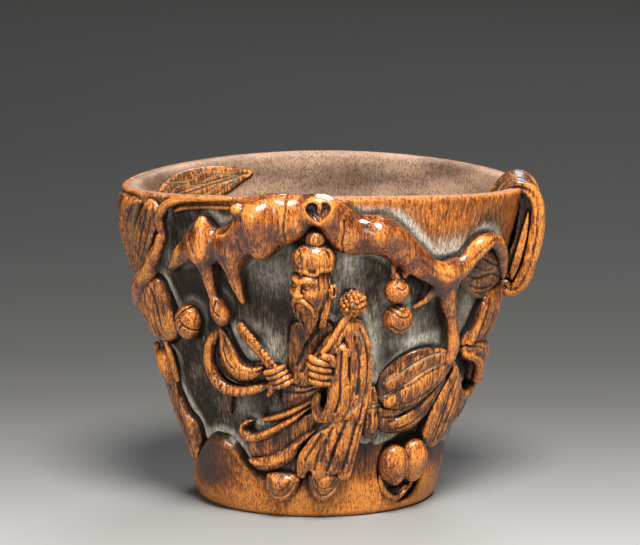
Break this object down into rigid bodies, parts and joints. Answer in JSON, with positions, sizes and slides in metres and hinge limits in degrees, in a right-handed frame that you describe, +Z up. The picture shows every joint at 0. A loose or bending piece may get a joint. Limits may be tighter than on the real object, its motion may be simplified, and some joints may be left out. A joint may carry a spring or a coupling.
{
  "type": "carved libation cup",
  "caption": "Oval tapering bamboo libation cup carved in high relief: a robed elder under a gnarled branch with leaves, gourds and peaches, and a rolled leaf handle.",
  "frame": {"origin": "centre of the flat foot that the cup stands on", "axes": "+Z up, -Y out of the carved front with the figure, +X to the right towards the leaf handle"},
  "size_m": [0.1252, 0.1046, 0.0976],
  "materials": {
    "bamboo_ground": "dark patinated bamboo, satin wax",
    "bamboo_rock": "smooth brown bamboo root, satin wax",
    "bamboo_branch": "red brown polished bamboo, waxed",
    "bamboo_robe": "red brown bamboo, satin wax",
    "bamboo_leaf": "brown bamboo, satin wax",
    "bamboo_fruit": "golden brown polished bamboo, waxed"
  },
  "bodies": {
    "root": {"back_branch": "bamboo_branch", "back_leaf_left": "bamboo_leaf", "back_leaf_middle": "bamboo_leaf", "back_leaf_right": "bamboo_leaf", "back_peach_left": "bamboo_fruit", "back_peach_right": "bamboo_fruit", "back_twig": "bamboo_branch", "beard": "bamboo_robe", "branch_knot": "bamboo_branch", "broad_leaf": "bamboo_leaf", "cap": "bamboo_robe", "cap_knob": "bamboo_robe", "cup_body": "bamboo_ground", "curl_branch": "bamboo_branch", "curl_leaf": "bamboo_leaf", "folded_leaf": "bamboo_leaf", "fungus_cap": "bamboo_fruit", "fungus_fold": "bamboo_fruit", "fungus_leaf": "bamboo_leaf", "gourd_twig": "bamboo_branch", "handle_leaf": "bamboo_leaf", "hanging_gourd": "bamboo_fruit", "hanging_sleeve": "bamboo_robe", "hanging_stem": "bamboo_branch", "head": "bamboo_robe", "knot_bud": "bamboo_branch", "left_blade": "bamboo_leaf", "left_bud": "bamboo_fruit", "left_fist": "bamboo_robe", "left_long_leaf": "bamboo_leaf", "left_low_leaf": "bamboo_leaf", "left_pod": "bamboo_fruit", "left_side_leaf": "bamboo_leaf", "left_stem": "bamboo_branch", "left_stub": "bamboo_branch", "lower_hem": "bamboo_robe", "main_branch": "bamboo_branch", "narrow_leaf": "bamboo_leaf", "peach_leaf": "bamboo_leaf", "peach_left": "bamboo_fruit", "peach_right": "bamboo_fruit", "pointed_stub": "bamboo_branch", "raised_arm": "bamboo_robe", "right_fist": "bamboo_robe", "rim_leaf": "bamboo_leaf", "rim_twig": "bamboo_branch", "robe_body": "bamboo_robe", "robe_chest": "bamboo_robe", "robe_skirt": "bamboo_robe", "rock_ledge": "bamboo_rock", "sceptre_head": "bamboo_robe", "sceptre_stem": "bamboo_robe", "shoe_left": "bamboo_robe", "shoe_right": "bamboo_robe", "sleeve_fold": "bamboo_robe", "sleeve_loop": "bamboo_robe", "stub_bud": "bamboo_branch", "upper_hem": "bamboo_robe", "waist_gourd": "bamboo_robe"}
  },
  "joints": []
}
